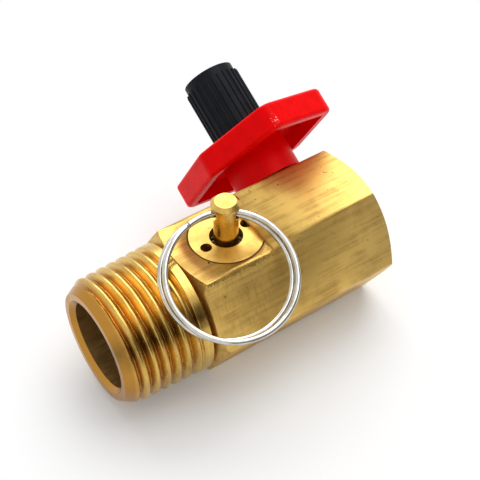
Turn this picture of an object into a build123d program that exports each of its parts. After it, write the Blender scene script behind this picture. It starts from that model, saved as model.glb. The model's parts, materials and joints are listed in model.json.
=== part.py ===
from build123d import *
import math
import os

os.makedirs("parts", exist_ok=True)

# Air tank manifold: a hexagonal brass bar lying along X, with the male tank thread at x = 0.
# Z is up, one flat faces straight up, and the part rests on the opposite flat.

# Hexagonal bar
across_flats = 22.0
hex_length = 34.4
hex_edge_round = 0.7
end_chamfer_angle = 28.0
shoulder_radius = 9.9
end_face_radius = 10.45

# Male tapered pipe thread, its collar and the undercut behind it
thread_pitch = 25.4 / 14
thread_crest_radius = 10.36
thread_depth = 0.95
thread_crests = 6
thread_taper = 1 / 32
thread_lead = 2.7
thread_start_radius = 9.0
crest_flat = 0.35
collar_length = 1.5
undercut_length = 0.8
undercut_radius = 9.75

# Bore of the male end
tank_bore_radius = 7.2
tank_bore_depth = 16.0
drill_point_angle = 31.0
tank_mouth_radius = 7.9
tank_mouth_chamfer = 0.8

# Safety valve on the top flat
relief_end_distance = 9.32
spot_depth = 0.95
spot_length = 13.42
plug_radius = 5.95
plug_height = 4.0
plug_plate = 1.8
plug_hole_radius = 2.65
plug_skirt_wall = 1.4
spanner_hole_radius = 0.9
spanner_circle_radius = 4.0
spanner_hole_angle = 186.0
relief_chamber_step = 1.55
relief_floor_z = 2.6
relief_lip_height = 0.4
relief_lip_wall = 0.6
relief_orifice_radius = 1.5
relief_seal_step = 0.4
relief_seal_height = 0.9
stem_radius = 1.95
stem_flange_gap = 0.4
stem_flange_height = 0.8
stem_head_radius = 2.3
stem_head_top_radius = 1.7
stem_head_height = 1.0
stem_top_z = 17.4
cross_hole_radius = 1.3
cross_hole_drop = 2.4
relief_wire_radius = 0.35
relief_coil_gap = 0.9
relief_coil_turns = 3.0

# Split ring through the stem's cross hole, resting on the front edge of the bar
ring_wire_radius = 0.48
ring_coil_radius = 9.95
ring_coil_pitch = 1.0
ring_turns = 2
ring_end_angle = 22.0
ring_heading = -31.0
ring_tilt = 25.5
ring_lean = 6.0

# Shut-off valve, on the flat 60 degrees behind the top flat
valve_end_distance = 9.48
valve_tilt = 60.0
chamber_radius = 3.9
seat_floor = 1.6
seat_lip_height = 0.4
seat_lip_wall = 0.6
seat_orifice_radius = 1.6
seat_orifice_depth = 7.2
seat_washer_radius = 2.85
seat_washer_height = 0.95
holder_radius = 3.2
holder_plate = 0.7
holder_rim = 0.5
holder_stub_radius = 1.0
holder_stub_height = 0.8
spindle_waist_radius = 3.0
spindle_waist_height = 1.9
spindle_flange_height = 0.35
spindle_thread_radius = 3.5
spindle_thread_height = 5.0
spindle_bore_radius = 1.1
cross_drill_radius = 0.6
o_ring_section_radius = 0.5
bonnet_thread_radius = 5.0
bonnet_seat = 8.3
bonnet_gasket_height = 0.4
bonnet_sink = 0.1
bonnet_collar_radius = 4.3
bonnet_collar_height = 2.1
bonnet_relief = 0.4
drive_across_flats = 6.6
drive_start = 13.4
drive_end = 18.3

# Knob on the spindle
knob_bottom = 15.5
knob_height = 4.4
knob_length = 28.6
knob_width = 21.9
knob_end_width = 14.0
knob_corner_round = 2.5
knob_heading = -71.8
knob_wall = 1.7
knob_web = 1.8
knob_edge_round = 0.6
hub_radius = 5.9
hub_wall = 1.25
hub_foot_gap = 0.35
knob_recess_radius = 5.3
knob_recess_depth = 1.1
clip_radius = 4.9
clip_height = 0.55
clip_groove_depth = 0.5
clip_slot = 5.6

# Filling valve in the spindle
inlet_radius = 3.85
inlet_length = 9.4
inlet_thread_pitch = 25.4 / 32
inlet_thread_depth = 0.35
inlet_thread_turns = 9
core_thread_radius = 2.6
core_thread_length = 3.4
core_head_sink = 0.7
core_barrel_radius = 1.75
core_barrel_length = 3.6
core_socket_radius = 1.95
core_bore_depth = 12.6
core_pin_radius = 0.42
core_pin_guide_radius = 0.62
core_pin_sink = 0.3
core_cup_radius = 1.5
core_cup_height = 1.0
core_seal_height = 0.5
core_gasket_height = 0.9
core_cavity_radius = 1.3
core_wire_radius = 0.13
core_coil_radius = 0.85
core_coil_turns = 5.0
core_spring_height = 2.2

# Cap on the filling valve
cap_radius = 4.7
cap_rib_radius = 0.22
cap_ribs = 26
cap_crown_radius = 4.5
cap_crown_height = 1.4
cap_roof = 2.4
cap_foot_gap = 0.35
cap_gasket_radius = 3.4
cap_gasket_height = 0.6

# Hose port in the bottom flat
port_radius = 5.68
port_depth = 7.4
port_mouth_radius = 7.1
port_chamfer_angle = 45.0

# Passages drilled from the floor of the tank bore
relief_passage_radius = 1.8
relief_passage_y = -1.0
relief_passage_z = -1.2
valve_passage_radius = 1.6
valve_passage_height = 3.5
valve_passage_side = 2.6

# Clearances, and how far a cut runs past the metal
fit_gap = 0.05
turning_gap = 0.08
face_gap = 0.05
cut_margin = 1.0

# Places worked out from the sizes above
flat = across_flats / 2
corner = across_flats / math.sqrt(3)
end_slope = math.tan(math.radians(end_chamfer_angle))
thread_end_x = thread_lead + (thread_crests - 0.5) * thread_pitch
collar_end_x = thread_end_x + collar_length
shoulder_x = collar_end_x + undercut_length
body_length = shoulder_x + hex_length
relief_x = shoulder_x + relief_end_distance
valve_x = body_length - valve_end_distance
spot_z = flat - spot_depth
relief_chamber_radius = plug_radius - relief_chamber_step
stem_flange_radius = relief_chamber_radius - stem_flange_gap
relief_seal_radius = stem_flange_radius - relief_seal_step
valve_direction = Vector(0, math.sin(math.radians(valve_tilt)), math.cos(math.radians(valve_tilt)))
valve_side = Vector(0, math.cos(math.radians(valve_tilt)), -math.sin(math.radians(valve_tilt)))

# Half sections of round pieces are drawn as (radius, height) on these planes and spun about their axes
bar_section = Plane.XZ
bar_axis = Axis.X
relief_section = Plane(origin=(relief_x, 0, 0), x_dir=(1, 0, 0), z_dir=(0, -1, 0))
relief_axis = Axis((relief_x, 0, 0), (0, 0, 1))
valve_section = Plane(origin=(valve_x, 0, 0), x_dir=(1, 0, 0), z_dir=-valve_side)
valve_axis = Axis((valve_x, 0, 0), valve_direction)


def half_section(plane, *points):
    with BuildSketch(plane) as section:
        with BuildLine():
            Polyline(*points, close=True)
        make_face()
    return section.sketch


def valve_plane(height):
    """Plane square to the shut-off valve, its distance taken from the bar's centre line."""
    origin = Vector(valve_x, 0, 0) + valve_direction * height
    return Plane(origin=origin, x_dir=(1, 0, 0), z_dir=valve_direction)


def coil(wire_radius, coil_radius, pitch, height, start_height):
    """Round wire wound about the Z axis, from start_height upwards."""
    with BuildPart() as winding:
        with BuildLine() as wire_path:
            Helix(pitch=pitch, height=height, radius=coil_radius, center=(0, 0, start_height))
        with BuildSketch(Plane(origin=wire_path.line @ 0, z_dir=wire_path.line % 0)):
            Circle(wire_radius)
        sweep(path=wire_path.line, is_frenet=True)
    return winding.part


# Body
thread_profile = [(0, thread_start_radius)]
for ridge in range(thread_crests):
    crest_x = thread_lead + ridge * thread_pitch
    crest = thread_crest_radius + crest_x * thread_taper
    thread_profile += [(crest_x - crest_flat / 2, crest), (crest_x + crest_flat / 2, crest)]
    thread_profile += [(crest_x + thread_pitch / 2, crest - thread_depth)]
collar_radius = thread_crest_radius + thread_end_x * thread_taper
collar_slope = thread_depth / 2
thread_profile += [(thread_end_x + collar_slope, collar_radius), (collar_end_x, collar_radius)]
thread_profile += [(collar_end_x, undercut_radius), (shoulder_x + end_slope, undercut_radius)]
thread_profile += [(shoulder_x + end_slope, 0), (0, 0)]

beyond_corner = corner + cut_margin
with BuildPart() as body:
    with BuildSketch(Plane.YZ.offset(shoulder_x)):
        RegularPolygon(flat, 6, major_radius=False)
    extrude(amount=hex_length)
    fillet(body.edges().filter_by(Axis.X), hex_edge_round)
    turned_outline = half_section(
        bar_section,
        (shoulder_x, 0),
        (shoulder_x, shoulder_radius),
        (shoulder_x + (beyond_corner - shoulder_radius) * end_slope, beyond_corner),
        (body_length - (beyond_corner - end_face_radius) * end_slope, beyond_corner),
        (body_length, end_face_radius),
        (body_length, 0),
    )
    revolve(turned_outline, axis=bar_axis, mode=Mode.INTERSECT)
    revolve(half_section(bar_section, *thread_profile), axis=bar_axis)

    # spot face for the safety valve, open to the male end
    with BuildSketch(Plane.XY.offset(spot_z)):
        with Locations((shoulder_x + spot_length / 2, 0)):
            Rectangle(spot_length, across_flats)
    extrude(amount=across_flats, mode=Mode.SUBTRACT)

    # tank bore with its chamfered mouth and drilled floor
    drill_tip = tank_bore_radius * math.tan(math.radians(drill_point_angle))
    tank_bore = half_section(
        bar_section,
        (0, 0),
        (0, tank_mouth_radius),
        (tank_mouth_chamfer, tank_bore_radius),
        (tank_bore_depth, tank_bore_radius),
        (tank_bore_depth + drill_tip, 0),
    )
    revolve(tank_bore, axis=bar_axis, mode=Mode.SUBTRACT)

    # pocket of the safety valve, with a raised seat lip round the orifice
    lip_radius = relief_orifice_radius + relief_lip_wall
    relief_pocket = half_section(
        relief_section,
        (0, relief_passage_z),
        (relief_orifice_radius, relief_passage_z),
        (relief_orifice_radius, relief_floor_z + relief_lip_height),
        (lip_radius, relief_floor_z + relief_lip_height),
        (lip_radius, relief_floor_z),
        (relief_chamber_radius, relief_floor_z),
        (relief_chamber_radius, spot_z - plug_height),
        (plug_radius + fit_gap, spot_z - plug_height),
        (plug_radius + fit_gap, spot_z),
        (0, spot_z),
    )
    revolve(relief_pocket, axis=relief_axis, mode=Mode.SUBTRACT)

    # chamber of the shut-off valve, its seat lip, and the step that takes the bonnet
    seat_lip_top = seat_floor + seat_lip_height
    bonnet_step_radius = bonnet_thread_radius + fit_gap
    valve_pocket = half_section(
        valve_section,
        (0, -seat_orifice_depth),
        (seat_orifice_radius, -seat_orifice_depth),
        (seat_orifice_radius, seat_lip_top),
        (seat_orifice_radius + seat_lip_wall, seat_lip_top),
        (seat_orifice_radius + seat_lip_wall, seat_floor),
        (chamber_radius, seat_floor),
        (chamber_radius, bonnet_seat),
        (bonnet_step_radius, bonnet_seat),
        (bonnet_step_radius, flat),
        (0, flat),
    )
    revolve(valve_pocket, axis=valve_axis, mode=Mode.SUBTRACT)

    # hose port, countersunk into the bottom flat
    port_slope = math.tan(math.radians(port_chamfer_angle))
    with BuildSketch(Plane(origin=(valve_x, 0, -flat), x_dir=(1, 0, 0), z_dir=(0, 0, 1))):
        Circle(port_radius)
    extrude(amount=port_depth, mode=Mode.SUBTRACT)
    port_section = Plane(origin=(valve_x, 0, -flat), x_dir=(1, 0, 0), z_dir=(0, -1, 0))
    port_mouth = half_section(
        port_section,
        (0, 0),
        (port_mouth_radius, 0),
        (0, port_mouth_radius * port_slope),
    )
    revolve(port_mouth, axis=Axis((valve_x, 0, 0), (0, 0, 1)), mode=Mode.SUBTRACT)

    # passages from the tank bore to the two valves
    with BuildSketch(Plane.YZ.offset(tank_bore_depth)):
        with Locations((relief_passage_y, relief_passage_z)):
            Circle(relief_passage_radius)
    extrude(amount=relief_x + relief_orifice_radius - tank_bore_depth, mode=Mode.SUBTRACT)
    passage_centre = valve_direction * (seat_floor + valve_passage_height) + valve_side * valve_passage_side
    with BuildSketch(Plane.YZ.offset(tank_bore_depth)):
        with Locations((passage_centre.Y, passage_centre.Z)):
            Circle(valve_passage_radius)
    extrude(amount=valve_x - chamber_radius / 2 - tank_bore_depth, mode=Mode.SUBTRACT)
body.part.label = "body"
export_step(body.part, "parts/body.step")

# Safety valve: adjusting plug, a threaded cup that presses the spring down
plug_bottom_z = spot_z - plug_height + fit_gap
plug_plate_z = spot_z - plug_plate
with BuildPart() as adjusting_plug:
    plug_outline = half_section(
        relief_section,
        (plug_hole_radius, spot_z),
        (plug_radius - fit_gap, spot_z),
        (plug_radius, spot_z - fit_gap),
        (plug_radius, plug_bottom_z),
        (plug_radius - plug_skirt_wall, plug_bottom_z),
        (plug_radius - plug_skirt_wall, plug_plate_z),
        (plug_hole_radius, plug_plate_z),
    )
    revolve(plug_outline, axis=relief_axis)
    with BuildSketch(Plane(origin=(relief_x, 0, plug_plate_z), x_dir=(1, 0, 0), z_dir=(0, 0, 1))):
        with PolarLocations(spanner_circle_radius, 2, start_angle=spanner_hole_angle):
            Circle(spanner_hole_radius)
    extrude(amount=plug_plate, mode=Mode.SUBTRACT)
adjusting_plug.part.label = "adjusting_plug"
export_step(adjusting_plug.part, "parts/adjusting_plug.step")

# Safety valve: rubber sealing disc on the orifice lip
relief_seal_z = relief_floor_z + relief_lip_height + face_gap
flange_bottom_z = relief_seal_z + relief_seal_height
flange_top_z = flange_bottom_z + stem_flange_height
with BuildPart() as relief_seal:
    with BuildSketch(Plane(origin=(relief_x, 0, relief_seal_z), x_dir=(1, 0, 0), z_dir=(0, 0, 1))):
        Circle(relief_seal_radius)
    extrude(amount=relief_seal_height)
relief_seal.part.label = "relief_seal"
export_step(relief_seal.part, "parts/relief_seal.step")

# Safety valve: stem with its flange below and its cross-drilled head above
cross_hole_z = stem_top_z - cross_hole_drop
head_bottom_z = stem_top_z - stem_head_height
head_chamfer = stem_head_radius - stem_head_top_radius
ring_heading_angle = math.radians(ring_heading)
hinge_direction = Vector(math.cos(ring_heading_angle), math.sin(ring_heading_angle), 0)
with BuildPart() as relief_stem:
    stem_outline = half_section(
        relief_section,
        (0, flange_bottom_z),
        (stem_flange_radius, flange_bottom_z),
        (stem_flange_radius, flange_top_z),
        (stem_radius, flange_top_z),
        (stem_radius, head_bottom_z - head_chamfer / 2),
        (stem_head_radius, head_bottom_z),
        (stem_head_radius, stem_top_z - head_chamfer),
        (stem_head_top_radius, stem_top_z),
        (0, stem_top_z),
    )
    revolve(stem_outline, axis=relief_axis)
    with BuildSketch(Plane(origin=(relief_x, 0, cross_hole_z), z_dir=hinge_direction)):
        Circle(cross_hole_radius)
    extrude(amount=stem_head_radius + cut_margin, both=True, mode=Mode.SUBTRACT)
relief_stem.part.label = "relief_stem"
export_step(relief_stem.part, "parts/relief_stem.step")

# Safety valve: spring between the plug's plate and the stem's flange
spring_base_z = flange_top_z + relief_wire_radius + face_gap
spring_height = plug_plate_z - flange_top_z - 2 * (relief_wire_radius + face_gap)
relief_plane = Plane(origin=(relief_x, 0, 0), x_dir=(1, 0, 0), z_dir=(0, 0, 1))
spring_pitch = spring_height / relief_coil_turns
relief_coil_radius = plug_radius - plug_skirt_wall - relief_coil_gap - relief_wire_radius
relief_winding = coil(relief_wire_radius, relief_coil_radius, spring_pitch, spring_height, spring_base_z)
with BuildPart() as relief_spring:
    with Locations(relief_plane):
        add(relief_winding)
relief_spring.part.label = "relief_spring"
export_step(relief_spring.part, "parts/relief_spring.step")

# Split ring: two turns of wire, hanging from the cross hole
forward = Vector(math.sin(ring_heading_angle), -math.cos(ring_heading_angle), 0)
tilt = math.radians(ring_tilt)
lean = math.radians(ring_lean)
hole_centre = Vector(relief_x, 0, cross_hole_z)
down_ring = forward * math.cos(tilt) - Vector(0, 0, 1) * math.sin(tilt)
ring_upright = hinge_direction.cross(down_ring)
ring_tangent = hinge_direction * math.cos(lean) + ring_upright * math.sin(lean)
ring_normal = ring_tangent.cross(down_ring)
ring_centre = hole_centre + down_ring * ring_coil_radius
end_angle = math.radians(ring_end_angle)
ring_start = ring_normal.cross(-down_ring) * math.sin(end_angle) - down_ring * math.cos(end_angle)
ring_plane = Plane(origin=ring_centre, x_dir=ring_start, z_dir=ring_normal)
ring_height = ring_coil_pitch * ring_turns
wires_at_hole = ring_coil_pitch * (ring_turns / 2 + 0.5 - ring_end_angle / 360)
ring_winding = coil(ring_wire_radius, ring_coil_radius, ring_coil_pitch, ring_height, -wires_at_hole)
with BuildPart() as pull_ring:
    with Locations(ring_plane):
        add(ring_winding)
pull_ring.part.label = "pull_ring"
export_step(pull_ring.part, "parts/pull_ring.step")

# Shut-off valve: seat washer in its holder, which turns freely under the spindle
washer_bottom = seat_lip_top + face_gap
holder_bottom = washer_bottom + seat_washer_height
holder_top = holder_bottom + holder_plate
with BuildPart() as seat_washer:
    with BuildSketch(valve_plane(washer_bottom)):
        Circle(seat_washer_radius)
    extrude(amount=seat_washer_height)
seat_washer.part.label = "seat_washer"
export_step(seat_washer.part, "parts/seat_washer.step")

with BuildPart() as seat_holder:
    holder_outline = half_section(
        valve_section,
        (0, holder_bottom),
        (seat_washer_radius + fit_gap, holder_bottom),
        (seat_washer_radius + fit_gap, holder_bottom - holder_rim),
        (holder_radius, holder_bottom - holder_rim),
        (holder_radius, holder_top),
        (holder_stub_radius, holder_top),
        (holder_stub_radius, holder_top + holder_stub_height),
        (0, holder_top + holder_stub_height),
    )
    revolve(holder_outline, axis=valve_axis)
seat_holder.part.label = "seat_holder"
export_step(seat_holder.part, "parts/seat_holder.step")

# Shut-off valve: hollow spindle, from its foot up to the filling valve's inlet
spindle_foot = holder_top + turning_gap
spindle_waist_top = spindle_foot + spindle_waist_height
spindle_land_radius = chamber_radius - turning_gap
groove_bottom = spindle_waist_top + spindle_flange_height
groove_top = groove_bottom + 2 * (o_ring_section_radius + fit_gap)
groove_radius = spindle_land_radius - 2 * o_ring_section_radius
spindle_land_top = groove_top + spindle_flange_height
spindle_thread_top = spindle_land_top + spindle_thread_height
inlet_top = knob_bottom + knob_height + inlet_length
core_bore_bottom = inlet_top - core_bore_depth
clip_bottom = knob_bottom + knob_height - knob_recess_depth + face_gap
clip_top = clip_bottom + clip_height
clip_groove_radius = inlet_radius - clip_groove_depth
core_seat = inlet_top - core_head_sink - core_thread_length
with BuildPart() as spindle:
    spindle_points = [
        (spindle_bore_radius, spindle_foot),
        (spindle_waist_radius, spindle_foot),
        (spindle_waist_radius, spindle_waist_top),
        (spindle_land_radius, spindle_waist_top),
        (spindle_land_radius, groove_bottom),
        (groove_radius, groove_bottom),
        (groove_radius, groove_top),
        (spindle_land_radius, groove_top),
        (spindle_land_radius, spindle_land_top),
        (spindle_thread_radius, spindle_land_top),
        (spindle_thread_radius, spindle_thread_top),
        (drive_across_flats / 2, spindle_thread_top),
        (drive_across_flats / 2, drive_end),
        (inlet_radius, drive_end),
        (inlet_radius, clip_bottom - face_gap),
        (clip_groove_radius, clip_bottom - face_gap),
        (clip_groove_radius, clip_top + face_gap),
        (inlet_radius, clip_top + face_gap),
    ]
    first_groove = inlet_top - inlet_thread_pitch * inlet_thread_turns
    for turn in range(inlet_thread_turns):
        groove = first_groove + inlet_thread_pitch * turn
        spindle_points += [(inlet_radius, groove)]
        spindle_points += [(inlet_radius - inlet_thread_depth, groove + inlet_thread_pitch / 2)]
    spindle_points += [
        (inlet_radius - inlet_thread_depth, inlet_top),
        (core_thread_radius + fit_gap, inlet_top),
        (core_thread_radius + fit_gap, core_seat),
        (core_socket_radius, core_seat - core_gasket_height),
        (core_socket_radius, core_bore_bottom),
        (spindle_bore_radius, core_bore_bottom - spindle_bore_radius),
    ]
    revolve(half_section(valve_section, *spindle_points), axis=valve_axis)
    with BuildSketch(valve_plane(drive_start)):
        RegularPolygon(drive_across_flats / 2, 6, major_radius=False)
        Circle(drive_across_flats / 2 - fit_gap, mode=Mode.SUBTRACT)
    extrude(amount=drive_end - drive_start)
    with BuildSketch(valve_section):
        with Locations((0, (spindle_foot + holder_stub_height + spindle_waist_top) / 2)):
            Circle(cross_drill_radius)
    extrude(amount=chamber_radius, both=True, mode=Mode.SUBTRACT)
spindle.part.label = "spindle"
export_step(spindle.part, "parts/spindle.step")

# Shut-off valve: o-ring in the spindle's groove
o_ring_height = (groove_bottom + groove_top) / 2
o_ring_radius = groove_radius + o_ring_section_radius
with BuildPart() as spindle_o_ring:
    with BuildSketch(valve_section):
        with Locations((o_ring_radius, o_ring_height)):
            Circle(o_ring_section_radius)
    revolve(axis=valve_axis)
spindle_o_ring.part.label = "spindle_o_ring"
export_step(spindle_o_ring.part, "parts/spindle_o_ring.step")

# Shut-off valve: bonnet screwed into the bar, and the gasket under it
bonnet_bottom = bonnet_seat + bonnet_gasket_height
bonnet_shoulder = flat - bonnet_sink
bonnet_top = bonnet_shoulder + bonnet_collar_height
bonnet_bore_radius = spindle_thread_radius + turning_gap
with BuildPart() as bonnet_gasket:
    with BuildSketch(valve_plane(bonnet_seat)):
        Circle(bonnet_thread_radius - fit_gap)
        Circle(chamber_radius + fit_gap, mode=Mode.SUBTRACT)
    extrude(amount=bonnet_gasket_height)
bonnet_gasket.part.label = "bonnet_gasket"
export_step(bonnet_gasket.part, "parts/bonnet_gasket.step")

with BuildPart() as bonnet:
    bonnet_outline = half_section(
        valve_section,
        (chamber_radius, bonnet_bottom),
        (bonnet_thread_radius, bonnet_bottom),
        (bonnet_thread_radius, bonnet_shoulder),
        (bonnet_collar_radius, bonnet_shoulder),
        (bonnet_collar_radius, bonnet_top),
        (bonnet_bore_radius, bonnet_top),
        (bonnet_bore_radius, bonnet_bottom + bonnet_relief),
        (chamber_radius, bonnet_bottom + bonnet_relief),
    )
    revolve(bonnet_outline, axis=valve_axis)
bonnet.part.label = "bonnet"
export_step(bonnet.part, "parts/bonnet.step")


# Knob: a hollow rim with six sides, longer than wide, a web, and a hub that reaches down to the bar
knob_angle = math.radians(knob_heading)
knob_along = Vector(1, 0, 0) * math.cos(knob_angle) + valve_side * math.sin(knob_angle)


def knob_outline(height, inset):
    """Outline of the knob, a long hexagon with rounded corners, moved inwards by inset."""
    half_length = knob_length / 2
    taper = (knob_width - knob_end_width) / knob_length
    end = half_length - inset
    side_y = knob_width / 2 - inset * math.hypot(1, taper)
    end_y = side_y - end * taper
    plane = Plane(origin=valve_plane(height).origin, x_dir=knob_along, z_dir=valve_direction)
    with BuildSketch(plane) as outline:
        with BuildLine():
            Polyline(
                (end, end_y),
                (0, side_y),
                (-end, end_y),
                (-end, -end_y),
                (0, -side_y),
                (end, -end_y),
                close=True,
            )
        make_face()
        fillet(outline.vertices(), knob_corner_round - inset)
    return outline.sketch


knob_top = knob_bottom + knob_height
hub_bottom = flat + hub_foot_gap
hub_ceiling = drive_start - fit_gap
with BuildPart() as knob:
    extrude(knob_outline(knob_bottom, 0), amount=knob_height, dir=valve_direction)
    knob_rims = knob.faces().sort_by(valve_axis)
    fillet(knob_rims[-1].edges() + knob_rims[0].edges(), knob_edge_round)
    extrude(
        knob_outline(knob_bottom, knob_wall),
        amount=knob_height - knob_web,
        dir=valve_direction,
        mode=Mode.SUBTRACT,
    )
    with BuildSketch(valve_plane(hub_bottom)):
        Circle(hub_radius)
    extrude(amount=knob_top - knob_web - hub_bottom)
    with BuildSketch(valve_plane(hub_bottom)):
        Circle(hub_radius - hub_wall)
    extrude(amount=hub_ceiling - hub_bottom, mode=Mode.SUBTRACT)
    with BuildSketch(valve_plane(hub_ceiling)):
        RegularPolygon(drive_across_flats / 2 + fit_gap, 6, major_radius=False)
    extrude(amount=drive_end - hub_ceiling, mode=Mode.SUBTRACT)
    with BuildSketch(valve_plane(drive_end)):
        Circle(inlet_radius + fit_gap)
    extrude(amount=knob_top - drive_end, mode=Mode.SUBTRACT)
    with BuildSketch(valve_plane(knob_top - knob_recess_depth)):
        Circle(knob_recess_radius)
    extrude(amount=knob_recess_depth, mode=Mode.SUBTRACT)
knob.part.label = "knob"
export_step(knob.part, "parts/knob.step")

# Clip that holds the knob down, sprung into the spindle's groove
with BuildPart() as knob_clip:
    with BuildSketch(valve_plane(clip_bottom)):
        Circle(clip_radius)
        Circle(clip_groove_radius + fit_gap, mode=Mode.SUBTRACT)
        with Locations((0, -clip_radius)):
            Rectangle(clip_slot, 2 * clip_radius, mode=Mode.SUBTRACT)
    extrude(amount=clip_height)
knob_clip.part.label = "knob_clip"
export_step(knob_clip.part, "parts/knob_clip.step")

# Filling valve core: threaded head and barrel, open for air between the head's two arms
core_top = inlet_top - core_head_sink
barrel_bottom = core_seat - core_barrel_length
with BuildPart() as core_barrel:
    barrel_outline = half_section(
        valve_section,
        (core_cavity_radius, barrel_bottom),
        (core_barrel_radius, barrel_bottom),
        (core_barrel_radius, core_seat),
        (core_thread_radius, core_seat),
        (core_thread_radius, core_top),
        (core_pin_guide_radius, core_top),
        (core_pin_guide_radius, core_seat - core_gasket_height),
        (core_cavity_radius, core_seat - core_gasket_height),
    )
    revolve(barrel_outline, axis=valve_axis)
    with BuildSketch(valve_plane(core_seat)):
        with Locations((0, core_thread_radius), (0, -core_thread_radius)):
            Rectangle(2 * core_thread_radius, core_thread_radius)
    extrude(amount=core_thread_length, mode=Mode.SUBTRACT)
core_barrel.part.label = "core_barrel"
export_step(core_barrel.part, "parts/core_barrel.step")

# Filling valve core: cone gasket round the barrel
with BuildPart() as core_gasket:
    gasket_outline = half_section(
        valve_section,
        (core_barrel_radius + fit_gap, core_seat - core_gasket_height),
        (core_socket_radius - fit_gap, core_seat - core_gasket_height),
        (core_thread_radius - fit_gap, core_seat - fit_gap),
        (core_barrel_radius + fit_gap, core_seat - fit_gap),
    )
    revolve(gasket_outline, axis=valve_axis)
core_gasket.part.label = "core_gasket"
export_step(core_gasket.part, "parts/core_gasket.step")

# Filling valve core: pin with its cup, pushed in from the inlet
pin_top = inlet_top - core_pin_sink
cup_top = barrel_bottom - core_seal_height - face_gap
with BuildPart() as core_pin:
    pin_outline = half_section(
        valve_section,
        (0, cup_top - core_cup_height),
        (core_cup_radius, cup_top - core_cup_height),
        (core_cup_radius, cup_top),
        (core_pin_radius, cup_top),
        (core_pin_radius, pin_top),
        (0, pin_top),
    )
    revolve(pin_outline, axis=valve_axis)
core_pin.part.label = "core_pin"
export_step(core_pin.part, "parts/core_pin.step")

# Filling valve core: rubber ring on the cup, closing the barrel's mouth
with BuildPart() as core_seal:
    with BuildSketch(valve_plane(cup_top)):
        Circle(core_cup_radius)
        Circle(core_pin_radius + fit_gap, mode=Mode.SUBTRACT)
    extrude(amount=core_seal_height)
core_seal.part.label = "core_seal"
export_step(core_seal.part, "parts/core_seal.step")

# Filling valve core: spring round the pin, inside the barrel
core_spring_top = core_seat - core_gasket_height - core_wire_radius - face_gap
core_pitch = core_spring_height / core_coil_turns
core_spring_foot = core_spring_top - core_spring_height
core_winding = coil(core_wire_radius, core_coil_radius, core_pitch, core_spring_height, core_spring_foot)
with BuildPart() as core_spring:
    with Locations(valve_plane(0)):
        add(core_winding)
core_spring.part.label = "core_spring"
export_step(core_spring.part, "parts/core_spring.step")

# Cap: ribbed sleeve with a plain crown, and the gasket under its roof
cap_bottom = knob_top + cap_foot_gap
gasket_bottom = inlet_top + face_gap
cap_ceiling = gasket_bottom + cap_gasket_height + face_gap
cap_top = cap_ceiling + cap_roof
cap_bore_radius = inlet_radius + turning_gap
with BuildPart() as valve_cap:
    cap_outline = half_section(
        valve_section,
        (cap_bore_radius, cap_bottom),
        (cap_radius, cap_bottom),
        (cap_radius, cap_top - cap_crown_height),
        (cap_crown_radius, cap_top - cap_crown_height),
        (cap_crown_radius, cap_top),
        (0, cap_top),
        (0, cap_ceiling),
        (cap_bore_radius, cap_ceiling),
    )
    revolve(cap_outline, axis=valve_axis)
    with BuildSketch(valve_plane(cap_bottom)):
        with PolarLocations(cap_radius, cap_ribs):
            Circle(cap_rib_radius)
    extrude(amount=cap_top - cap_crown_height - cap_bottom)
valve_cap.part.label = "valve_cap"
export_step(valve_cap.part, "parts/valve_cap.step")

with BuildPart() as cap_gasket:
    with BuildSketch(valve_plane(gasket_bottom)):
        Circle(cap_gasket_radius)
    extrude(amount=cap_gasket_height)
cap_gasket.part.label = "cap_gasket"
export_step(cap_gasket.part, "parts/cap_gasket.step")
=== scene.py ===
import json
import math
import random

import bmesh
import bpy
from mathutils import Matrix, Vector


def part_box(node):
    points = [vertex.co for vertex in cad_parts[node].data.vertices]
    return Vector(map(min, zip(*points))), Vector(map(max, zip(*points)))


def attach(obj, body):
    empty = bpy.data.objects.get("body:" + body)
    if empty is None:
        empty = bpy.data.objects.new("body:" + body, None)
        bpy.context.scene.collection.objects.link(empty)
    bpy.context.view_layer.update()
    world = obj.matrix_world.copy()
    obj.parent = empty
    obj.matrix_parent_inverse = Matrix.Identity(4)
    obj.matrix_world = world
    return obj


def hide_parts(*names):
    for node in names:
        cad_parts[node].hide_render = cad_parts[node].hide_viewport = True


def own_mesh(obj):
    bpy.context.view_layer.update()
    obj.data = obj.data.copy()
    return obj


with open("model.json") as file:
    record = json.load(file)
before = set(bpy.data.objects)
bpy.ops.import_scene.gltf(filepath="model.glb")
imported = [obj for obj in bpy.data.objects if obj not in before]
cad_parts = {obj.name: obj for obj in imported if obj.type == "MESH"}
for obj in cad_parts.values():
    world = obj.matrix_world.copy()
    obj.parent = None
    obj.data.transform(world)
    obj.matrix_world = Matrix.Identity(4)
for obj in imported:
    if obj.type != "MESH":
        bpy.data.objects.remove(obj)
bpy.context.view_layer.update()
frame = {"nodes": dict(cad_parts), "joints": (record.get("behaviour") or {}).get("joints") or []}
MM = 0.001
UP = Vector((0, 0, 1))

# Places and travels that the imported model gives, in millimetres
JOINTS = {joint["name"]: joint for joint in frame["joints"]}
RING_PIVOT = [value / MM for value in JOINTS["ring_swing"]["pos_m"]]
RELIEF_X = RING_PIVOT[0]
HALF_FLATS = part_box("body")[1].z / MM

# Spot face, plug and bore, in millimetres, and the hexagon's turn from flat to flat in degrees
SIXTH = 60
SPOT_Z = 10.05
PLUG_RADIUS = 5.95
BORE = 7.2
BORE_END = 21.0
BORE_MARGIN = 0.05
BORE_MOUTH = 7.9
MOUTH_CHAMFER = 0.8
WELD = 0.001

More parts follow.
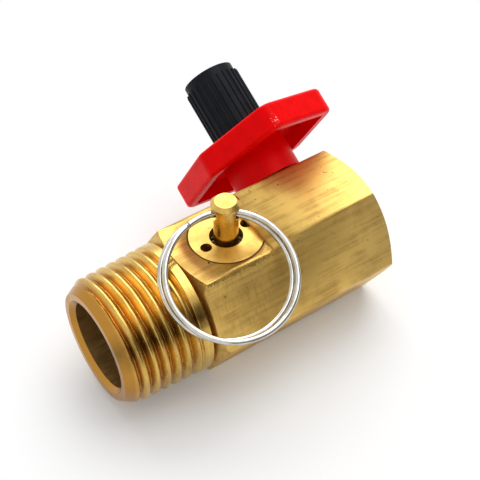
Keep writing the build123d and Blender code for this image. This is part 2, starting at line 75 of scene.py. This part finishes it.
# Tank thread, in millimetres; each flank runs between two shares of the half pitch
THREAD_PITCH = 25.4 / 14
THREAD_CREST = 10.36
THREAD_TAPER = 1 / 32
THREAD_DEPTH = 0.95
THREAD_FIRST = 2.74
THREAD_END = 12.68
THREAD_RUN_OUT = 0.45
CREST_SHARE = 0.18
VALLEY_SHARE = 0.92
LEAD_RADIUS = 9.0
LEAD_SLOPE = 0.6
COLLAR_END = 14.55
THREAD_STEP = 0.09
THREAD_SIDES = 240
THREAD_ANGLES = [2 * math.pi * k / THREAD_SIDES for k in range(THREAD_SIDES)]

# Burr on the spot face's front edge, in millimetres
BURR_REACH = 0.4
BURR_RAGGED = 0.45
BURR_STEP = 0.16
BURR_PROUD = 0.012
BURR_CREST = 0.045
BURR_ROOT = 0.2
BURR_SEED = 3
EDGE_MARGIN = 0.02

# When a face counts as flat: its normal's part along X, its turn in degrees, its place in millimetres
END_FACE_NORMAL = 0.9999
FLAT_LEAN = 0.001
FLAT_TURN = 0.05
FLAT_MARGIN = 0.01

# Split ring: how it hangs, its wire from end to end in degrees, and the spread of its two turns
RING_TILT = 25.5
RING_LEAN = 6.0
RING_RADIUS = 9.8
RING_WIRE = 0.47
RING_FIRST = 24.0
RING_LAST = 758.0
RING_PITCH = 0.98
RING_LEVEL_TURN = 1.5
RING_CROSSING_TURN = 0.5
RING_APART = 0.8
RING_DROP = 0.5
RING_STEPS = 360
RING_SIDES = 20

# Colours of the brass, of what lies on it, and of shade painted on it
BRASS = (0.74, 0.49, 0.135)
BRASS_THREAD = (0.74, 0.49, 0.13)
BRASS_PLUG = (0.72, 0.46, 0.12)
# Inside the bore the brass is painted darker, as shade
BRASS_BORE_SHADED = (0.46, 0.29, 0.1)
STAIN = (0.45, 0.27, 0.07)
# Stain colour inside the bore, darkened the same way as painted shade
BORE_STAIN_SHADED = (0.2, 0.12, 0.04)
PIT = (0.16, 0.08, 0.02)
CUTTER_MARK = (0.4, 0.22, 0.06)
SEAM_DIRT = (0.05, 0.025, 0.01)
PUNCH_MARK = (0.1, 0.05, 0.02)
PLUG_EDGE = (0.08, 0.04, 0.015)
# Valleys of the thread: dirt and painted shade
VALLEY_DIRT_AND_SHADE = (0.45, 0.22, 0.04)
# Painted dark reflection: colour of the band along the thread's front
PAINTED_DARK_REFLECTION = (0.2, 0.11, 0.03)

# Colours of plastic, rubber and steel, each with its second shade
RED = (0.86, 0.0, 0.001)
RED_SHADE = (0.74, 0.0, 0.001)
SCUFF = (0.9, 0.6, 0.5)
BLACK = (0.003, 0.004, 0.007)
BLACK_SHADE = (0.006, 0.008, 0.011)
NICKEL = (0.62, 0.6, 0.55)
NICKEL_SHADE = (0.42, 0.4, 0.36)
SPRING_WIRE = (0.6, 0.61, 0.63)
SPRING_SHADE = (0.45, 0.46, 0.48)
RUBBER = (0.012, 0.012, 0.013)
RUBBER_SHADE = (0.022, 0.022, 0.022)

# Where marks sit, in millimetres; each is full up to its first radius and gone at its second
CUTTER_PLACE = (21, -9, 7)
CUTTER_RADII = (5.0, 8.0)
PUNCH_PLACE = (18.9, -3.3, SPOT_Z)
PUNCH_RADII = (0.12, 0.26)
SCUFF_PLACE = (38.4, 6.5, 22.4)
SCUFF_RADII = (0.6, 1.5)
SCUFF_STRETCH = (1.6, 1, 0.7)
VALLEY_RADII = (9.7, 10.3)
SEAM_RADIUS = PLUG_RADIUS + 0.09
SEAM_HALF_WIDTH = 0.1
SEAM_DEPTHS = (0.02, 0.1)
PLUG_EDGE_START = PLUG_RADIUS - 0.16
PLUG_EDGE_FULL = PLUG_RADIUS - 0.06

# Painted dark reflection on the thread: a band at this angle from the top towards the front, in radians
DARK_REFLECTION_ANGLE = 0.95
DARK_REFLECTION_HALF_WIDTH = 0.36

# Stage, in metres; the floor is white from the second fade radius on
FLOOR_Z = -HALF_FLATS * MM
FLOOR_PLACE = (0.03, 0, FLOOR_Z)
FLOOR_SIZE = (3, 3)
FLOOR_GREY = 0.9
FADE_CENTRE = (0.027, 0, FLOOR_Z)
FADE_RADII = (0.024, 0.06)
FADE_LEAST = 0.1
WORLD_LIGHT = 0.66
LAMP_AIM = (0.027, 0, 0.005)
CARD_AIM = (0.027, 0, 0)
CARD_COLOUR = (1.0, 0.95, 0.85)
CARD_STRENGTH = 0.2

# Camera at the photograph's angle: focal length in pixels, place in millimetres, turn in degrees
PHOTO_WIDTH = 480
FOCAL_PIXELS = 1066.38
SENSOR_WIDTH = 36
CAMERA_PLACE = (-39.7808, -96.3737, 126.2434)
CAMERA_TURN = (44.62809, 0.26289, -34.94292)


# Shader helpers
class Shader:
    """A material with one surface shader, built node by node; its tone is its colour so far."""

    def __init__(self, name):
        self.material = bpy.data.materials.new(name)
        self.material.use_nodes = True
        self.tree = self.material.node_tree
        self.surface = self.tree.nodes["Principled BSDF"]
        self.place = self.add("ShaderNodeTexCoord").outputs["Object"]
        self.tone = None

    def add(self, kind, **values):
        made = self.tree.nodes.new(kind)
        for key, value in values.items():
            setattr(made, key, value)
        return made

    def link(self, source, target):
        self.tree.links.new(source, target)

    def noise(self, per_mm, detail=4.0, rough=0.6):
        """Noise with this many waves per millimetre along X, Y and Z."""
        stretch = self.add("ShaderNodeMapping")
        stretch.inputs["Scale"].default_value = [value / MM for value in per_mm]
        self.link(self.place, stretch.inputs["Vector"])
        made = self.add("ShaderNodeTexNoise")
        made.inputs["Scale"].default_value = 1.0
        made.inputs["Detail"].default_value = detail
        made.inputs["Roughness"].default_value = rough
        self.link(stretch.outputs["Vector"], made.inputs["Vector"])
        return made.outputs["Fac"]

    def remap(self, value, low, high, to_low=0.0, to_high=1.0):
        made = self.add("ShaderNodeMapRange")
        self.link(value, made.inputs["Value"])
        made.inputs["From Min"].default_value = low
        made.inputs["From Max"].default_value = high
        made.inputs["To Min"].default_value = to_low
        made.inputs["To Max"].default_value = to_high
        return made.outputs["Result"]

    def mix(self, factor, first, second):
        made = self.add("ShaderNodeMix", data_type="RGBA")
        self.link(factor, made.inputs["Factor"])
        for value, socket in ((first, made.inputs["A"]), (second, made.inputs["B"])):
            if isinstance(value, tuple):
                socket.default_value = (*value, 1.0)
            else:
                self.link(value, socket)
        return made.outputs["Result"]

    def math(self, operation, first, second):
        made = self.add("ShaderNodeMath", operation=operation)
        for value, socket in ((first, made.inputs[0]), (second, made.inputs[1])):
            if isinstance(value, (int, float)):
                socket.default_value = value
            else:
                self.link(value, socket)
        return made.outputs["Value"]

    def distance_from(self, centre, keep=(1, 1, 1)):
        """Distance in millimetres from a point, or from an axis where one part of keep is 0."""
        shift = self.add("ShaderNodeVectorMath", operation="SUBTRACT")
        self.link(self.place, shift.inputs[0])
        shift.inputs[1].default_value = [value * MM for value in centre]
        kept = self.add("ShaderNodeVectorMath", operation="MULTIPLY")
        self.link(shift.outputs["Vector"], kept.inputs[0])
        kept.inputs[1].default_value = [value / MM for value in keep]
        length = self.add("ShaderNodeVectorMath", operation="LENGTH")
        self.link(kept.outputs["Vector"], length.inputs[0])
        return length.outputs["Value"]

    def mark_at(self, centre, radii, keep=(1, 1, 1)):
        """One up to the first radius round a place, falling to zero at the second."""
        return self.remap(self.distance_from(centre, keep), radii[0], radii[1], 1.0, 0.0)

    def line_at(self, value, middle, half_width):
        """One where the value is at its middle, falling to zero on both sides."""
        away = self.math("ABSOLUTE", self.math("SUBTRACT", value, middle), 0)
        return self.remap(away, 0.0, half_width, 1.0, 0.0)

    def paint(self, factor, colour):
        """Lays a colour over the tone where the factor is one."""
        self.tone = self.mix(factor, self.tone, colour)

    def roughen(self, value, low, high, rough):
        result = self.remap(value, low, high, rough[0], rough[1])
        self.link(result, self.surface.inputs["Roughness"])

    def bump(self, height, strength, distance):
        made = self.add("ShaderNodeBump")
        made.inputs["Strength"].default_value = strength
        made.inputs["Distance"].default_value = distance
        self.link(height, made.inputs["Height"])
        self.link(made.outputs["Normal"], self.surface.inputs["Normal"])

    def finished(self):
        self.link(self.tone, self.surface.inputs["Base Color"])
        return self.material


def brass(name, streak, base=BRASS, dark=STAIN, rough=(0.36, 0.5), grain=0.5):
    """Bare brass; streak is the number of lines per millimetre along X, Y and Z."""
    shader = Shader(name)
    fine = shader.noise(streak, 3.0)
    coarse = shader.noise([lines / 4 for lines in streak])
    cloud = shader.noise((0.22, 0.22, 0.22), 5.0)
    pits = shader.remap(shader.noise((1.5, 1.5, 1.5), 2.0, 0.5), 0.70, 0.78)
    stain = shader.remap(shader.math("MULTIPLY", cloud, coarse), 0.2, 0.36, 0.0, 0.75)
    shader.tone = shader.mix(stain, base, dark)
    shader.paint(pits, PIT)
    shader.surface.inputs["Metallic"].default_value = 1.0
    worn = shader.math("ADD", shader.math("MULTIPLY", fine, 0.5), shader.math("MULTIPLY", cloud, 0.5))
    shader.roughen(worn, 0.35, 0.65, rough)
    shader.bump(shader.math("SUBTRACT", shader.math("ADD", fine, coarse), pits), grain, 0.00004)
    return shader


def plastic(name, base, shade, rough, grain, gloss):
    shader = Shader(name)
    cloud = shader.noise((0.4, 0.4, 0.4))
    shader.tone = shader.mix(shader.remap(cloud, 0.4, 0.7), base, shade)
    fine = shader.noise((2.5, 2.5, 2.5), 3.0)
    shader.roughen(fine, 0.3, 0.7, rough)
    shader.surface.inputs["Specular IOR Level"].default_value = gloss
    shader.bump(fine, grain, 0.00003)
    return shader


def steel(name, base, shade, rough):
    shader = Shader(name)
    cloud = shader.noise((0.5, 0.5, 0.5))
    shader.tone = shader.mix(shader.remap(cloud, 0.4, 0.7), base, shade)
    shader.surface.inputs["Metallic"].default_value = 1.0
    shader.roughen(cloud, 0.3, 0.7, rough)
    shader.bump(cloud, 0.3, 0.00002)
    return shader


# Drawn bar, with cross marks of the cutter, dirt in the seam round the plug, and a punch mark
def drawn_brass():
    bar = brass("brass_drawn", (0.2, 7.0, 7.0))
    scratches = bar.remap(bar.noise((7.0, 0.5, 0.5), 3.0), 0.5, 0.68, 0.0, 0.6)
    near_spot = bar.mark_at(CUTTER_PLACE, CUTTER_RADII)
    bar.paint(bar.math("MULTIPLY", near_spot, scratches), CUTTER_MARK)
    reach = bar.distance_from((RELIEF_X, 0, 0), (1, 1, 0))
    seam = bar.line_at(reach, SEAM_RADIUS, SEAM_HALF_WIDTH)
    on_spot = bar.mark_at((RELIEF_X, 0, SPOT_Z), SEAM_DEPTHS, (0, 0, 1))
    bar.paint(bar.math("MULTIPLY", seam, on_spot), SEAM_DIRT)
    bar.paint(bar.mark_at(PUNCH_PLACE, PUNCH_RADII), PUNCH_MARK)
    return bar.finished()


# Plug of the safety valve, with a dark edge
def plug_brass():
    plug = brass("brass_plug", (1.6, 1.6, 1.6), base=BRASS_PLUG, rough=(0.3, 0.42), grain=0.3)
    reach = plug.distance_from((RELIEF_X, 0, 0), (1, 1, 0))
    plug.paint(plug.remap(reach, PLUG_EDGE_START, PLUG_EDGE_FULL), PLUG_EDGE)
    return plug.finished()


# Tank thread, with valleys darkened by dirt and painted shade, and a painted dark reflection in a band
# along its front
def thread_brass():
    thread = brass("brass_thread", (9.0, 0.6, 0.6), base=BRASS_THREAD, rough=(0.18, 0.3), grain=0.4)
    # Valleys darkened by dirt and by painted shade
    thread.paint(thread.mark_at((0, 0, 0), VALLEY_RADII, (0, 1, 1)), VALLEY_DIRT_AND_SHADE)
    axes = thread.add("ShaderNodeSeparateXYZ")
    thread.link(thread.place, axes.inputs[0])
    front = thread.math("MULTIPLY", axes.outputs["Y"], -1)
    around = thread.math("ARCTAN2", front, axes.outputs["Z"])
    patchy = thread.remap(thread.noise((0.5, 0.25, 0.25)), 0.3, 0.6, 0.2, 1.0)
    # Painted shade: a dark reflection painted in a band at a fixed angle along the thread's front, with
    # patchy edges
    band = thread.math("MULTIPLY", thread.line_at(around, DARK_REFLECTION_ANGLE, DARK_REFLECTION_HALF_WIDTH), patchy)
    thread.paint(thread.math("MULTIPLY", band, 0.9), PAINTED_DARK_REFLECTION)
    return thread.finished()


# Knob, with a pale scuff on its front corner
def knob_plastic():
    knob = plastic("red_gloss", RED, RED_SHADE, (0.25, 0.36), 0.06, 0.06)
    scratches = knob.remap(knob.noise((2.6, 2.6, 0.9), 3.0, 0.7), 0.57, 0.62)
    near = knob.mark_at(SCUFF_PLACE, SCUFF_RADII, SCUFF_STRETCH)
    knob.paint(knob.math("MULTIPLY", scratches, near), SCUFF)
    return knob.finished()


brass_bar = drawn_brass()
brass_turned = brass("brass_turned", (2.5, 2.5, 2.5), rough=(0.2, 0.3), grain=0.3).finished()
brass_plug = plug_brass()
brass_thread = thread_brass()
# Bore: brass painted darker inside the hole as shade, with its stains
brass_bore = brass("brass_bore", (1.0, 4.0, 4.0), BRASS_BORE_SHADED, BORE_STAIN_SHADED, (0.4, 0.55)).finished()
red_plastic = knob_plastic()
black_plastic = plastic("black_satin", BLACK, BLACK_SHADE, (0.32, 0.48), 0.15, 0.12).finished()
ring_steel = steel("ring_nickel", NICKEL, NICKEL_SHADE, (0.06, 0.16)).finished()
spring_steel = steel("spring_wire", SPRING_WIRE, SPRING_SHADE, (0.2, 0.35)).finished()
rubber = plastic("rubber_matt", RUBBER, RUBBER_SHADE, (0.6, 0.8), 0.3, 0.5).finished()

MATERIAL_OF = {
    "body": brass_bar,
    "adjusting_plug": brass_plug,
    "pull_ring": ring_steel,
    "knob": red_plastic,
    "knob_clip": spring_steel,
    "relief_spring": spring_steel,
    "core_spring": spring_steel,
    "valve_cap": black_plastic,
    "relief_seal": rubber,
    "seat_washer": rubber,
    "spindle_o_ring": rubber,
    "bonnet_gasket": rubber,
    "core_gasket": rubber,
    "core_seal": rubber,
    "cap_gasket": rubber,
}
for name, thing in frame["nodes"].items():
    thing.data.materials.clear()
    thing.data.materials.append(MATERIAL_OF.get(name, brass_turned))


# Mesh helpers
def clamped(value):
    return min(1.0, max(0.0, value))


def skin(shape, loops, slot=0):
    """Faces between each loop of points and the next, in this material slot."""
    for first, second in zip(loops, loops[1:]):
        for k in range(len(first)):
            n = (k + 1) % len(first)
            face = shape.faces.new((first[k], first[n], second[n], second[k]))
            face.material_index = slot


def closed_skin(shape, loops):
    skin(shape, loops)
    shape.faces.new(loops[0])
    shape.faces.new(loops[-1])


def new_piece(name, shape, materials, sharp_degrees, flat_test=None):
    """An object of this shape, smooth between its sharp edges; faces that pass the test stay flat."""
    bmesh.ops.recalc_face_normals(shape, faces=shape.faces)
    mesh = bpy.data.meshes.new(name)
    shape.to_mesh(mesh)
    shape.free()
    piece = bpy.data.objects.new(name, mesh)
    bpy.context.collection.objects.link(piece)
    for material in materials:
        mesh.materials.append(material)
    for face in mesh.polygons:
        face.use_smooth = flat_test is None or not flat_test(face)
    mesh.set_sharp_from_angle(angle=math.radians(sharp_degrees))
    return piece


# Body: the hexagonal part as in the solid, with a helical thread in place of the ridges
BODY_MATERIALS = (brass_bar, brass_thread, brass_bore)
BAR_SLOT, THREAD_SLOT, BORE_SLOT = range(len(BODY_MATERIALS))


def thread_radius(x, angle):
    crest = THREAD_CREST + THREAD_TAPER * x
    turn = (x - THREAD_FIRST) / THREAD_PITCH - (angle - math.pi / 2) / (2 * math.pi)
    away = abs(turn - round(turn)) * 2
    height = clamped((VALLEY_SHARE - away) / (VALLEY_SHARE - CREST_SHARE))
    radius = crest - THREAD_DEPTH * (1 - height)
    radius += (crest - radius) * clamped((x - THREAD_END) / THREAD_RUN_OUT)
    return min(radius, LEAD_RADIUS + LEAD_SLOPE * x)


def loop_round_axis(shape, x, radii):
    """A loop of points round the bar's axis, one for each radius."""
    points = []
    for angle, radius in zip(THREAD_ANGLES, radii):
        place = (x, radius * math.cos(angle), radius * math.sin(angle))
        points.append(shape.verts.new([value * MM for value in place]))
    return points


def is_flat(face):
    """True for the hexagon's flats, the spot face and the end faces."""
    normal = face.normal
    if abs(normal.x) > END_FACE_NORMAL:
        return True
    turn = math.degrees(math.atan2(normal.y, normal.z)) % SIXTH
    square = abs(normal.x) < FLAT_LEAN and min(turn, SIXTH - turn) < FLAT_TURN
    return square and normal.dot(face.center) / MM > SPOT_Z - FLAT_MARGIN


def cut_bar(shape):
    """Leaves the bar behind the collar, with its bore in another material and its cut face closed."""
    bmesh.ops.remove_doubles(shape, verts=shape.verts, dist=WELD * MM)
    every = shape.verts[:] + shape.edges[:] + shape.faces[:]
    cut = (COLLAR_END * MM, 0, 0)
    bmesh.ops.bisect_plane(shape, geom=every, plane_co=cut, plane_no=(1, 0, 0), clear_inner=True)
    for face in shape.faces:
        middle = face.calc_center_median() / MM
        inside = math.hypot(middle.y, middle.z) < BORE + BORE_MARGIN and middle.x < BORE_END
        face.material_index = BORE_SLOT if inside else BAR_SLOT
    rim = [edge for edge in shape.edges if edge.is_boundary]
    for face in bmesh.ops.bridge_loops(shape, edges=rim)["faces"]:
        face.material_index = THREAD_SLOT


def add_thread(shape):
    """Thread and collar outside, bore inside, as one closed tube."""
    steps = int(COLLAR_END / THREAD_STEP)
    stations = [k * THREAD_STEP for k in range(steps + 1)] + [COLLAR_END]
    outside = []
    for x in stations:
        outside.append(loop_round_axis(shape, x, [thread_radius(x, angle) for angle in THREAD_ANGLES]))
    bore_back = loop_round_axis(shape, COLLAR_END, [BORE] * THREAD_SIDES)
    bore_front = loop_round_axis(shape, MOUTH_CHAMFER, [BORE] * THREAD_SIDES)
    mouth = loop_round_axis(shape, 0, [BORE_MOUTH] * THREAD_SIDES)
    skin(shape, [*outside, bore_back], THREAD_SLOT)
    skin(shape, [bore_back, bore_front], BORE_SLOT)
    skin(shape, [bore_front, mouth, outside[0]], THREAD_SLOT)


def body_shape():
    shape = bmesh.new()
    shape.from_mesh(frame["nodes"]["body"].data)
    cut_bar(shape)
    add_thread(shape)
    return new_piece("body_visual", shape, BODY_MATERIALS, 32, is_flat)


body_visual = body_shape()
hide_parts("body")
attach(body_visual, "manifold")


# Burr that the spot face left on the edge of the front flat
def burr_shape():
    """A narrow ragged strip over that edge, as long as it, with its root inside the body."""
    slant = math.radians(SIXTH)
    flat_out = Vector((0, -math.sin(slant), math.cos(slant)))
    flat_down = Vector((0, -math.cos(slant), -math.sin(slant)))
    edge_out = (UP + flat_out).normalized()
    edge_y = (SPOT_Z * math.cos(slant) - HALF_FLATS) / math.sin(slant)
    along = [
        vertex.co.x / MM for vertex in frame["nodes"]["body"].data.vertices
        if abs(vertex.co.y / MM - edge_y) < EDGE_MARGIN and abs(vertex.co.z / MM - SPOT_Z) < EDGE_MARGIN
    ]
    start = min(along)
    length = max(along) - start
    count = int(length / BURR_STEP)
    random.seed(BURR_SEED)
    shape = bmesh.new()
    loops = []
    for k in range(count + 1):
        corner = Vector((start + length * k / count, edge_y, SPOT_Z))
        reach = BURR_REACH + BURR_RAGGED * random.random() ** 2
        section = (
            corner + Vector((0, BURR_REACH / 2, BURR_PROUD)),
            corner + edge_out * BURR_CREST,
            corner + flat_down * reach + flat_out * BURR_PROUD,
            corner - edge_out * BURR_ROOT,
        )
        loops.append([shape.verts.new(point * MM) for point in section])
    closed_skin(shape, loops)
    return new_piece("burr", shape, (brass_turned,), 60)


burr = burr_shape()
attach(burr, "manifold")


# Split ring: two turns of wire that have sprung apart sideways
def ring_path(down, across, normal):
    """Points along the wire; its second turn stands beside the first and hangs lower."""
    middle = Vector(RING_PIVOT) + down * RING_RADIUS
    path = []
    for k in range(RING_STEPS + 1):
        turn = (RING_FIRST + (RING_LAST - RING_FIRST) * k / RING_STEPS) / 360
        angle = 2 * math.pi * turn
        crossed = clamped(turn - RING_CROSSING_TURN)
        crossed = crossed * crossed * (3 - 2 * crossed)
        lowness = 0.5 * (1 - math.cos(angle))
        point = middle - down * RING_RADIUS * math.cos(angle) - across * RING_RADIUS * math.sin(angle)
        point += across * (RING_APART * (crossed - 0.5))
        point += down * (RING_DROP * crossed * lowness)
        point += normal * (RING_PITCH * (RING_LEVEL_TURN - turn))
        path.append(point * MM)
    return path


def ring_shape():
    tilt = math.radians(RING_TILT)
    lean = math.radians(RING_LEAN)
    hinge = -Vector(JOINTS["ring_swing"]["axis"])
    down = hinge.cross(UP) * math.cos(tilt) - UP * math.sin(tilt)
    across = hinge * math.cos(lean) + hinge.cross(down) * math.sin(lean)
    normal = across.cross(down)
    path = ring_path(down, across, normal)
    shape = bmesh.new()
    loops = []
    for k, point in enumerate(path):
        ahead = (path[min(k + 1, RING_STEPS)] - path[max(k - 1, 0)]).normalized()
        side = ahead.cross(normal).normalized()
        top = side.cross(ahead)
        loop = []
        for n in range(RING_SIDES):
            angle = 2 * math.pi * n / RING_SIDES
            outward = side * math.cos(angle) + top * math.sin(angle)
            loop.append(shape.verts.new(point + outward * RING_WIRE * MM))
        loops.append(loop)
    closed_skin(shape, loops)
    return new_piece("pull_ring_visual", shape, (ring_steel,), 40)


ring_visual = ring_shape()
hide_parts("pull_ring")
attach(ring_visual, "ring")


# Spring of the safety valve: a copy of its mesh, attached to the manifold
def spring_shape():
    made = frame["nodes"]["relief_spring"].copy()
    made.data = made.data.copy()
    made.name = "relief_spring_visual"
    bpy.context.collection.objects.link(made)
    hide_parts("relief_spring")
    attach(made, "manifold")
    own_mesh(made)


spring_shape()

# Stage: pale floor, white beyond it, two soft lamps and two cards
scene = bpy.context.scene


def shows_background(tree):
    """One for camera, mirror and see-through rays, else zero."""
    path = tree.nodes.new("ShaderNodeLightPath")
    seen = path.outputs["Is Camera Ray"]
    for other in ("Is Glossy Ray", "Is Transmission Ray"):
        either = tree.nodes.new("ShaderNodeMath")
        either.operation = "MAXIMUM"
        tree.links.new(seen, either.inputs[0])
        tree.links.new(path.outputs[other], either.inputs[1])
        seen = either.outputs["Value"]
    return seen


def plane(name, centre, size, aim, material):
    bpy.ops.mesh.primitive_plane_add(size=1)
    made = bpy.context.object
    made.name = name
    made.scale = (size[0], size[1], 1)
    made.location = centre
    made.rotation_euler = aim.to_track_quat("Z", "Y").to_euler()
    made.data.materials.append(material)
    return made


def floor_material():
    """Pale paint with the object's shadow near it, and plain white further out."""
    material = bpy.data.materials.new("floor_pale")
    material.use_nodes = True
    tree = material.node_tree
    paint = tree.nodes["Principled BSDF"]
    paint.inputs["Base Color"].default_value = (FLOOR_GREY, FLOOR_GREY, FLOOR_GREY, 1)
    paint.inputs["Roughness"].default_value = 0.9
    place = tree.nodes.new("ShaderNodeNewGeometry")
    apart = tree.nodes.new("ShaderNodeVectorMath")
    apart.operation = "DISTANCE"
    apart.inputs[1].default_value = FADE_CENTRE
    tree.links.new(place.outputs["Position"], apart.inputs[0])
    fade = tree.nodes.new("ShaderNodeMapRange")
    fade.interpolation_type = "SMOOTHSTEP"
    fade.inputs["From Min"].default_value = FADE_RADII[0]
    fade.inputs["From Max"].default_value = FADE_RADII[1]
    fade.inputs["To Min"].default_value = FADE_LEAST
    fade.inputs["To Max"].default_value = 1.0
    tree.links.new(apart.outputs["Value"], fade.inputs["Value"])
    share = tree.nodes.new("ShaderNodeMath")
    share.operation = "MULTIPLY"
    tree.links.new(shows_background(tree), share.inputs[0])
    tree.links.new(fade.outputs["Result"], share.inputs[1])
    glow = tree.nodes.new("ShaderNodeEmission")
    blend = tree.nodes.new("ShaderNodeMixShader")
    tree.links.new(share.outputs["Value"], blend.inputs["Fac"])
    tree.links.new(paint.outputs["BSDF"], blend.inputs[1])
    tree.links.new(glow.outputs["Emission"], blend.inputs[2])
    tree.links.new(blend.outputs["Shader"], tree.nodes["Material Output"].inputs["Surface"])
    return material


def light_world():
    """An even light on the object, in front of a white background."""
    world = bpy.data.worlds.new("world")
    scene.world = world
    world.use_nodes = True
    tree = world.node_tree
    back = tree.nodes["Background"]
    back.inputs["Color"].default_value = (1, 1, 1, 1)
    level = tree.nodes.new("ShaderNodeMapRange")
    level.inputs["To Min"].default_value = WORLD_LIGHT
    level.inputs["To Max"].default_value = 1.0
    tree.links.new(shows_background(tree), level.inputs["Value"])
    tree.links.new(level.outputs["Result"], back.inputs["Strength"])


def lamp(name, where, size, power):
    data = bpy.data.lights.new(name, "AREA")
    data.shape = "RECTANGLE"
    data.size = size[0]
    data.size_y = size[1]
    data.energy = power
    made = bpy.data.objects.new(name, data)
    made.location = where
    made.rotation_euler = (Vector(where) - Vector(LAMP_AIM)).to_track_quat("Z", "Y").to_euler()
    bpy.context.collection.objects.link(made)


def card(name, centre, size):
    """A grey card of the studio, which shows only as a reflection on the object."""
    material = bpy.data.materials.new(name)
    material.use_nodes = True
    tree = material.node_tree
    shine = tree.nodes.new("ShaderNodeEmission")
    shine.inputs["Color"].default_value = (*CARD_COLOUR, 1)
    shine.inputs["Strength"].default_value = CARD_STRENGTH
    tree.links.new(shine.outputs["Emission"], tree.nodes["Material Output"].inputs["Surface"])
    made = plane(name, centre, size, Vector(CARD_AIM) - Vector(centre), material)
    made.visible_camera = False
    made.visible_diffuse = False
    made.visible_shadow = False


plane("floor", FLOOR_PLACE, FLOOR_SIZE, UP, floor_material())
light_world()
lamp("lamp_back", (0.43, 0.58, 0.72), (1.2, 0.9), 7.0)
lamp("lamp_top", (0.22, -0.08, 0.6), (0.4, 0.4), 0.95)
card("card_low", (0.2, -0.39, 0.055), (1.1, 0.13))
card("card_high", (0.185, -0.35, 0.2), (1.0, 0.2))

# Camera
camera_data = bpy.data.cameras.new("camera")
camera_data.sensor_width = SENSOR_WIDTH
camera_data.lens = FOCAL_PIXELS * SENSOR_WIDTH / PHOTO_WIDTH
camera_data.clip_start = 0.01
camera = bpy.data.objects.new("camera", camera_data)
camera.location = [value * MM for value in CAMERA_PLACE]
camera.rotation_euler = [math.radians(value) for value in CAMERA_TURN]
bpy.context.collection.objects.link(camera)
scene.camera = camera
scene.view_settings.view_transform = "Standard"
